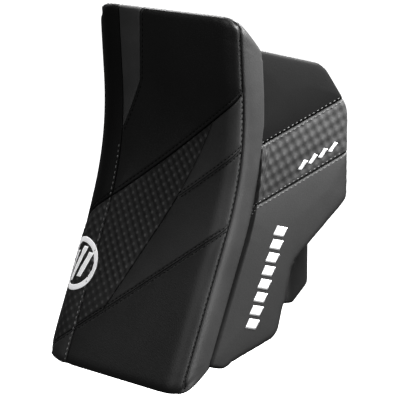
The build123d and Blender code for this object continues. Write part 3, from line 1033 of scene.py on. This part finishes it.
wingMesh.normal_update()
owners = [wingPart(f.calc_center_median(), f.normal) for f in wingMesh.faces]
bandFaces = [f for f, owner in zip(wingMesh.faces, owners) if owner == "wingPanelDimpled"]
bandEdges = list({e for f in bandFaces for e in f.edges})
bmesh.ops.subdivide_edges(wingMesh, edges=bandEdges, cuts=1, use_grid_fill=True)
wingMesh.normal_update()
wingMesh.verts.index_update()
wingPlaces = [v.co.xy.copy() for v in wingMesh.verts]
for vert in wingMesh.verts:  # the inner edge follows the board's back
    if vert.co.x < wing["fitReach"]:
        start = vert.co.copy()
        start.x = innerEdge
        for step in range(4):
            s, d = unbend(wingGrid @ start)
            inward = Vector((0, cos(lean(s)), -sin(lean(s))))
            start.x += (board["depth"] + wing["gap"] - d) / wingBack.dot(inward)
        share = (vert.co.x - innerEdge) / (wing["fitReach"] - innerEdge)
        vert.co.x = start.x + share * (wing["fitReach"] - start.x)
wingMesh.normal_update()
wingParts = [wingPart(f.calc_center_median(), f.normal) for f in wingMesh.faces]
rimLine = [v.co.copy() for v in wingMesh.verts if abs(v.normal.z) < 0.2]
rimFinder = KDTree(len(rimLine))
for number, spot in enumerate(rimLine):
    rimFinder.insert(Vector((spot.x, spot.y, 0)), number)
rimFinder.balance()
moves = []
for vert in wingMesh.verts:
    x, y, z = vert.co
    gap = min(toSegment(x, y, start, end) for start, end in wingSeams)
    depth = wing["seamDepth"] * (1 - smooth(0, wing["seamWidth"], gap))
    rimGap = rimFinder.find(Vector((x, y, 0)))[2]
    facing = vert.normal.z
    fullness = 1 - exp(-min(gap, rimGap + wing["rimRise"]) / wing["crownReach"])
    lift = wing["crown"] * fullness * max(facing, 0.2)
    if facing > 0:
        lift -= depth * facing
        if wingSeam("lowerSeam", x) < y < wingSeam("upperSeam", x):
            faded = smooth(2 * mm, 5 * mm, gap) * smooth(2 * mm, 6 * mm, rimGap)
            height = cushion(x * wing["dimpleScale"], y * wing["dimpleScale"]) - 0.5
            lift += wing["dimpleHeight"] * 2 * height * faded
    moves.append(vert.normal * lift)
for vert, move in zip(wingMesh.verts, moves):
    vert.co += move
    vert.co = wingGrid @ vert.co
wingMesh.normal_update()
mapFlat(wingMesh, wingPlaces, 10 * wing["dimpleScale"])
wingTree = BVHTree.FromBMesh(wingMesh)
wingCovers = {
    "wingPanelUpper": ("shadedWingUpperLeather", "wing_panel_upper", "wing_grey"),
    "wingPanelDimpled": ("wingDimples", "wing_panel_dimpled", "wing_dimpled"),
    "wingPanelLower": ("wingLeather", "wing_panel_lower", "wing_grey"),
    "wingBinding": ("litBandLeather", "wing_edge_band", "side_grey"),
    "wingLining": ("liningKnit", "wing_lining", "lining"),
}
for name, (finish, node, slot) in wingCovers.items():
    coverPiece(wingMesh, wingParts, name, finish, node, wing["cover"])


def wingSpot(x, y):
    return wingGrid @ Vector((x, y, 0))


def wingLine(seam, low, high, step):
    return besideLine(*((x * mm, wingSeam(seam, x * mm)) for x in (low, high)), step)


bm = bmesh.new()
for seam, low, high in (("upperSeam", 5, 99), ("lowerSeam", 5, 105)):
    for step in (-2.4 * mm, 2.4 * mm):
        sewLine(bm, wingTree, wingSpot, wingLine(seam, low, high, step), width=1.0 * mm)
meshObject(bm, "wingStitches", finishes["wingThread"])

wingMarks = {  # rows of bars: count, first and last place, width and height in mm, slant, cells
    "lower": (8, (37.875, 50), (50.125, 148), 11.5, 10.4, 0.3, (6, 5)),
    "band": (4, (62, 219), (92, 243), 4.2, 11, 0.45, (3, 8)),
}
bm = bmesh.new()
for count, first, last, width, height, slant, cells in wingMarks.values():
    for number in range(count):
        t = number / (count - 1)
        centre = [(a + t * (b - a)) * mm for a, b in zip(first, last)]
        bar(bm, centre, width * mm, height * mm, slant, cells)
printOn(bm, "wingMarks", wingTree, wingSpot, "print")
print("wing made:", len(wingPlaces), "points")


# the parts behind the board: skins grown round the CAD's own solids
def nodeMesh(*names):
    # a copy of CAD solids, merged to closed shapes
    bm = bmesh.new()
    for name in names:
        bm.from_mesh(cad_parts[name].data)
    bmesh.ops.remove_doubles(bm, verts=bm.verts, dist=1e-6)
    return bm


stuffing = {"stiffness": 18, "quality": 6, "frames": 20}


def inflate(piece, pressure, cap):
    # blows the cover up a little, as stuffing does
    cloth = piece.modifiers.new("stuffing", "CLOTH")
    settings = cloth.settings
    settings.use_pressure = True
    settings.uniform_pressure_force = pressure
    settings.effector_weights.gravity = 0
    settings.tension_stiffness = settings.compression_stiffness = stuffing["stiffness"]
    settings.quality = stuffing["quality"]
    scene, cache = bpy.context.scene, cloth.point_cache
    cache.frame_start, cache.frame_end = 1, stuffing["frames"]
    scene.frame_start, scene.frame_end = 1, stuffing["frames"]
    for number in range(1, stuffing["frames"] + 1):
        scene.frame_set(number)
    graph = bpy.context.evaluated_depsgraph_get()
    blown = [v.co.copy() for v in piece.evaluated_get(graph).data.vertices]
    piece.modifiers.clear()
    for vert, spot in zip(piece.data.vertices, blown):
        move = spot - vert.co
        if move.length > cap:
            move *= cap / move.length
        vert.co += move
    scene.frame_set(1)


def refine(piece, levels=1):
    finer = piece.modifiers.new("finer", "SUBSURF")
    finer.levels = finer.render_levels = levels
    bakeModifiers(piece)


def channel(piece, lines, depth, width):
    # sewn channels: each line is a spot, the direction across it and the side it is on
    for vert in piece.data.vertices:
        pull = 0.0
        for spot, normal, facing in lines:
            if vert.normal.dot(facing) < 0.35:
                continue
            away = abs((vert.co - spot).dot(normal))
            pull = max(pull, depth * (1 - smooth(0, width, away)))
        if pull:
            vert.co -= vert.normal * pull


pads = {  # node: name, then voxel, shrink, pressure and most that it swells (mm), finish, slot
    "knuckle_pad": ("knucklePad", 4.5, 2.0, 4, 5, "liningKnit", "lining"),
    "wrist_pad": ("wristPad", 4.5, 2.0, 4, 5, "liningKnit", "lining"),
    "cuff_side_wing": ("cuffSideWing", 3.0, 1.0, 3, 3.5, "cuffLeather", "cover_black"),
    "cuff_side_outer": ("cuffSideOuter", 3.0, 1.0, 3, 3.5, "cuffLeather", "cover_black"),
    "cuff_flap": ("cuffFlap", 3.0, 1.0, 3, 3.5, "cuffLeather", "cover_black"),
}
padChannels = {"depth": 1.6 * mm, "width": 5 * mm, "pitch": 23 * mm}
cuffChannels = {"depth": 1.8 * mm, "width": 4 * mm, "heights": (0.34, 0.66)}
skinLift = 0.8  # how far the finished skin stands past its shrunk blank, in mm
for node, (name, voxel, shrink, pressure, cap, finish, slot) in pads.items():
    bm = remeshed(nodeMesh(node), voxel * mm)
    evenOut(bm, bm.verts, 3)
    swell(bm, skinLift - shrink)
    piece = meshObject(bm, name, finishes[finish], body=None)
    inflate(piece, pressure, cap * mm)
    refine(piece)
    for polygon in piece.data.polygons:
        polygon.use_smooth = True
    low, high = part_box(node)
    if name.startswith("cuff"):
        out = Vector((1, 0, 0)) if "side" in node else Vector((0, 1, 0))
        rows = [
            (Vector((0, 0, low.z + t * (high.z - low.z))), Vector((0, 0, 1)), facing)
            for t in cuffChannels["heights"]
            for facing in (out, -out)
        ]
        channel(piece, rows, cuffChannels["depth"], cuffChannels["width"])
    else:
        facing = Vector((0, 1, -0.2)).normalized()
        spots = [(low.x + high.x) / 2 + k * padChannels["pitch"] for k in (-1, 0, 1)]
        rows = [(Vector((x, 0, 0)), Vector((1, 0, 0)), facing) for x in spots]
        channel(piece, rows, padChannels["depth"], padChannels["width"])
    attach(piece, "flap" if node == "cuff_flap" else "board")
    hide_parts(node)
print("pads and cuff made")

core = remeshed(nodeMesh("wing_foam"), 3 * mm)
evenOut(core, core.verts, 2)
swell(core, -wing["foamInset"])
wingFoam = meshObject(core, "wingFoam", finishes["foam"])
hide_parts("wing_foam")

skins = {  # node: name, voxel (mm), smoothing, wrinkle height (mm), finish, slot, body
    "palm": ("palmLeather", 1.5, 3, 0.5, "palmLeather", "palm_leather", "board"),
    "hand_liner": ("handLiner", 1.8, 3, 0.3, "liningKnit", "lining", "board"),
    "thumb_stall": ("thumbStall", 1.1, 3, 0.5, "palmLeather", "palm_leather", "thumb"),
    "thumb_guard": ("thumbGuard", 1.5, 7, 0.0, "shadedGuardLeather", "cover_black", "thumb"),
}
for finger in ("index", "middle", "ring", "little"):
    made = (finger + "Stall", 1.1, 3, 0.5, "palmLeather", "palm_leather", "finger_" + finger)
    skins["finger_stall_" + finger] = made
guardCut = {  # the thumb guard's lower corner is cut off
    "up": 19 * mm,
    "forward": 6 * mm,
    "slope": (0.62, 0.42, -0.66),
}


def wrinkle(point, pitch=9 * mm):
    # small folds across the leather, uneven from place to place
    a = point.x / pitch * 1.7 + 2.1 * sin(point.z / pitch * 0.6)
    b = point.z / pitch * 2.6 + 1.3 * sin(point.x / pitch * 0.8) + point.y / pitch * 1.2
    return 0.5 * sin(a) * sin(b) + 0.5 * sin(b * 0.53 + 1)


for node, (name, voxel, times, folding, finish, slot, body) in skins.items():
    source = nodeMesh(node)
    if node == "thumb_guard":
        low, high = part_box(node)
        corner = Vector((high.x, high.y - guardCut["forward"], low.z + guardCut["up"]))
        bmesh.ops.bisect_plane(
            source, geom=source.verts[:] + source.edges[:] + source.faces[:], dist=1e-6,
            plane_co=corner, plane_no=Vector(guardCut["slope"]).normalized(), clear_outer=True,
        )
        bmesh.ops.holes_fill(source, edges=[e for e in source.edges if e.is_boundary], sides=0)
        bmesh.ops.recalc_face_normals(source, faces=source.faces)
    bm = remeshed(source, voxel * mm)
    evenOut(bm, bm.verts, times)
    bm.normal_update()
    for vert, normal in [(v, v.normal.copy()) for v in bm.verts]:
        vert.co += normal * (0.35 * mm + folding * mm * wrinkle(vert.co))
    piece = meshObject(bm, name, finishes[finish], body=body)
    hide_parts(node)
print("hand, fingers and thumb made")


# gussets: soft sleeves that join the hand to the fingers and the thumb
def ring(bm, centre, right, up, width, height, corner, steps=6):
    # one closed loop with rounded corners
    loop = []
    for quarter, (sx, sy) in enumerate(((1, 1), (-1, 1), (-1, -1), (1, -1))):
        for step in range(steps):
            angle = (quarter + step / (steps - 1)) * pi / 2
            x = sx * (width / 2 - corner) + corner * cos(angle)
            y = sy * (height / 2 - corner) + corner * sin(angle)
            loop.append(bm.verts.new(centre + right * x + up * y))
    return [bm.edges.new(pair) for pair in zip(loop, loop[1:] + loop[:1])]


def sleeve(name, rings, thickness=1.0 * mm):
    # a tube of cloth through several rings
    bm = bmesh.new()
    loops = [ring(bm, *r) for r in rings]
    for first, second in zip(loops, loops[1:]):
        bmesh.ops.bridge_loops(bm, edges=first + second)
    bmesh.ops.recalc_face_normals(bm, faces=bm.faces)
    piece = meshObject(bm, name, finishes["gussetKnit"], body=None)
    refine(piece, 2)
    return bakeModifiers(thicken(piece, thickness))


right, back, upright = Vector((1, 0, 0)), Vector((0, 1, 0)), Vector((0, 0, 1))
fingerGusset = {
    "rings": (  # place up the board, width and height, in mm
        (130, 20, 22), (126, 20.5, 23), (122, 20.5, 23.5), (118, 20, 22.5), (113, 18.4, 20.4),
    ),
    "behind": 69 * mm,
    "corner": 8 * mm,
    "bends": (128 * mm, 116 * mm),
}
lowest = lean(126 * mm)
backward = Vector((0, cos(lowest), -sin(lowest)))
behind, corner = fingerGusset["behind"], fingerGusset["corner"]
for name in ("little", "ring", "middle", "index"):
    low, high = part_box("finger_stall_" + name)
    x = (low.x + high.x) / 2 - foot.x
    rings = [
        (bend(x, s * mm, behind), right, backward, width * mm, height * mm, corner)
        for s, width, height in fingerGusset["rings"]
    ]
    start, end = [bend(x, s, behind) for s in fingerGusset["bends"]]
    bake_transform(sleeve(name + "Gusset", rings), "board", "finger_" + name, start=start, end=end)

thumbGusset = {
    "joint": Vector((0.064, -0.026, -0.128)),
    "tip": Vector((75.5, 5, -175)) * mm,
    "roots": ((0.0455, 23 * mm, 11 * mm), (0.051, 25 * mm, 12 * mm)),  # place, size, corner
    "bendFrom": (0.049, -0.026, -0.128),
    "bendTo": 5 * mm,
}
joint = thumbGusset["joint"]
heading = (thumbGusset["tip"] - joint).normalized()
aside = heading.cross(right)
rings = [
    (Vector((x, joint.y, joint.z)), back, upright, size, size, corner)
    for x, size, corner in thumbGusset["roots"]
]
rings += [
    (
        joint + Vector((-0.004, 0, 0.001)) + heading * mm,
        (back + aside).normalized(),
        (upright * 0.6 + right * 0.6 + heading * -0.2).normalized(),
        24 * mm, 26 * mm, 11 * mm,
    ),
    (joint + heading * 9 * mm, aside.normalized() * -1, right, 22 * mm, 19 * mm, 8 * mm),
]
piece = sleeve("thumbGusset", rings)
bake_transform(piece)

# the flap's hinge, the strap and its patches
wallLow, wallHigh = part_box("cuff_side_wing")
anchorLow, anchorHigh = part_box("strap_anchor")
tailLow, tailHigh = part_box("strap_tail")


def ribbon(name, path, low, high, thickness, finish, cell=3 * mm):
    # a flat strap: a strip along the path, from one edge to the other, then thickened
    bm = bmesh.new()
    verts = [bm.verts.new((x, y, low)) for x, y in path]
    edges = [bm.edges.new(pair) for pair in zip(verts, verts[1:])]
    count = max(2, round((high - low) / cell))
    for step in range(count):
        made = bmesh.ops.extrude_edge_only(bm, edges=edges)["geom"]
        moved = vertsOf(made)
        bmesh.ops.translate(bm, vec=(0, 0, (high - low) / count), verts=moved)
        rims = [g for g in made if isinstance(g, bmesh.types.BMEdge) and g.is_boundary]
        edges = [e for e in rims if all(v in moved for v in e.verts)]
    bmesh.ops.recalc_face_normals(bm, faces=bm.faces)
    piece = meshObject(bm, name, finishes[finish], body=None)
    thicken(piece, thickness, offset=0)
    rounding = piece.modifiers.new("rounding", "BEVEL")
    rounding.width = 0.25 * thickness
    rounding.segments = 2
    rounding.limit_method = "ANGLE"
    return bakeModifiers(piece)


def arc(centre, radius, start, end, count=8):
    return [
        (centre[0] + radius * cos(radians(a)), centre[1] + radius * sin(radians(a)))
        for a in [start + (end - start) * k / count for k in range(count + 1)]
    ]


def spacedOut(first, second, count):
    (a, b), (c, d) = first, second
    return [(a + (c - a) * k / count, b + (d - b) * k / count) for k in range(count)]


def boxStitch(bm, tree, lowX, highX, lowZ, highZ, y):
    # a sewn square with a cross in it
    a, b, c, d = (lowX, lowZ), (highX, lowZ), (highX, highZ), (lowX, highZ)
    for row in ([a, b, c, d, a], [a, c], [b, d]):
        sewLine(bm, tree, lambda x, z: Vector((x, y, z)), row, width=0.9 * mm)


strap = {"turn": 2.6 * mm, "thickness": 2.2 * mm, "step": 3 * mm, "tailSteps": 18, "bend": 7 * mm}
strapY = (anchorLow.y + anchorHigh.y) / 2
strapX = (tailLow.x + tailHigh.x) / 2
turn = strap["turn"]
path = spacedOut((anchorHigh.x, strapY), (strapX + turn, strapY), 18)
path += arc((strapX + turn, strapY - turn), turn, 90, 180)
path += [(strapX, strapY - turn - k * strap["step"]) for k in range(1, strap["tailSteps"] + 1)]
low, high = anchorLow.z, anchorHigh.z
piece = ribbon("strapWebbing", path, low, high, strap["thickness"], "webbing")
points, polygons = piece.data.vertices, piece.data.polygons
strapTree = BVHTree.FromPolygons([v.co for v in points], [tuple(p.vertices) for p in polygons])
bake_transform(piece)
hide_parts("strap_anchor", "strap_tail")

boxEdge = 5 * mm
boxRight, boxLow, boxHigh = anchorHigh.x - boxEdge, anchorLow.z + boxEdge, anchorHigh.z - boxEdge
bm = bmesh.new()
boxStitch(bm, strapTree, boxRight - 25 * mm, boxRight, boxLow, boxHigh, anchorHigh.y + 3 * mm)
meshObject(bm, "strapStitches", finishes["wingThread"], body="flap")

pile = {"height": 0.18 * mm, "turns": 5200, "cell": 1.2 * mm}  # the rough surface of the patches
for node, name, body in (
    ("strap_loop_patch", "loopPatch", "board"),
    ("strap_hook_patch", "hookPatch", "strap"),
):
    low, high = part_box(node)
    bm = bmesh.new()
    bmesh.ops.create_cube(bm, size=1)
    bmesh.ops.scale(bm, vec=high - low, verts=bm.verts)
    bmesh.ops.translate(bm, vec=(low + high) / 2, verts=bm.verts)
    divide(bm, high - low, pile["cell"])
    turns = pile["turns"]
    for vert in bm.verts:
        vert.co.x += pile["height"] * sin(vert.co.y * turns) * sin(vert.co.z * turns)
    patch = meshObject(bm, name, finishes["hookLoop"], body=body)
    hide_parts(node)

hinge = {"x": 50.5 * mm, "y": 36 * mm, "radius": 5.4 * mm, "thickness": 1.4 * mm, "inset": 2 * mm}
x, y = hinge["x"], hinge["y"]
path = [(wallHigh.x + a * mm, wallHigh.y + b * mm) for a, b in ((-1.5, -16), (0.4, -9), (0.9, -2))]
path += arc((x, y), hinge["radius"], -20, 90)
path += [(x - 8 * mm, y + 5.6 * mm), (x - 15 * mm, y + 5.2 * mm)]
low, high = wallLow.z + hinge["inset"], wallHigh.z - hinge["inset"]
piece = ribbon("flapHinge", path, low, high, hinge["thickness"], "binding")
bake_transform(piece)
print("gussets, strap and hinge made")

# the hard parts keep their CAD shape
hardParts = {
    "hand_backing": "stiffPlastic",
    "thumb_guard_insert": "stiffPlastic",
    "wing_plate": "stiffPlastic",
    "tee_nuts": "steel",
    "palm_screws": "steel",
    "screw_washers": "steel",
}
for node, finish in hardParts.items():
    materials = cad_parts[node].data.materials
    materials.clear()
    materials.append(finishes[finish])
print("hard parts finished")

stage = {"drop": 0.36, "radius": 14.0, "glow": 1.1, "ambient": 0.06}
camera = {"spot": (1.5329, -1.8880, 0.4145), "aim": (0.0396, -0.0923, -0.1168), "lens": 211.0}
lights = {
    "top": {"spot": (0.5, 0.3, 0.85), "aim": (0.08, -0.05, 0.02), "size": (0.5, 0.4), "watts": 74},
    "rightBack": {"spot": (1.5, 0.0, 0.75), "aim": (0.08, -0.05, -0.05), "size": (0.6, 0.9), "watts": 19},
    "topLeft": {"spot": (-0.9, 0.3, 1.1), "aim": (0, -0.05, 0.05), "size": (0.8, 0.5), "watts": 16},
    "right": {"spot": (1.9, -0.5, -0.25), "aim": (0.1, -0.08, -0.1), "size": (0.4, 0.8), "watts": 6},
    "front": {"spot": (-0.2, -2.4, 0.9), "aim": (0, -0.1, -0.15), "size": (1.8, 1.4), "watts": 10},
}

bm = bmesh.new()
bmesh.ops.create_circle(bm, cap_ends=True, segments=96, radius=stage["radius"])
bmesh.ops.translate(bm, vec=(0, 0, cadLow.z - stage["drop"]), verts=bm.verts)
paper = Paint("paper")
cloud = paper.noise(paper.place(), 3)
paperFinish = paper.finish(
    Base_Color=paper.mix(cloud, grey(0.86), grey(0.9)),
    Roughness=0.9,
    Emission_Color=grey(1),
    Emission_Strength=stage["glow"],
)
floorPiece = meshObject(bm, "floor", paperFinish, body=None, isSmooth=False)
floorPiece.visible_glossy = floorPiece.visible_diffuse = False


def placeAimed(name, data, spot, aim):
    holder = bpy.data.objects.new(name, data)
    bpy.context.scene.collection.objects.link(holder)
    holder.location = spot
    holder.rotation_euler = (Vector(aim) - Vector(spot)).to_track_quat("-Z", "Y").to_euler()
    return holder


for name, light in lights.items():
    lamp = bpy.data.lights.new(name, "AREA")
    lamp.shape = "RECTANGLE"
    lamp.size, lamp.size_y = light["size"]
    lamp.energy = light["watts"]
    placeAimed(name, lamp, light["spot"], light["aim"])

world = bpy.data.worlds.new("studio")
bpy.context.scene.world = world
world.use_nodes = True
backdrop = world.node_tree.nodes["Background"].inputs
backdrop["Color"].default_value = grey(1)
backdrop["Strength"].default_value = stage["ambient"]

lens = bpy.data.cameras.new("camera")
lens.lens = camera["lens"]
lens.sensor_width = 36
lens.clip_end = 60
bpy.context.scene.camera = placeAimed("camera", lens, camera["spot"], camera["aim"])
bpy.context.scene.view_settings.view_transform = "Standard"
print("stage, lights and camera placed")
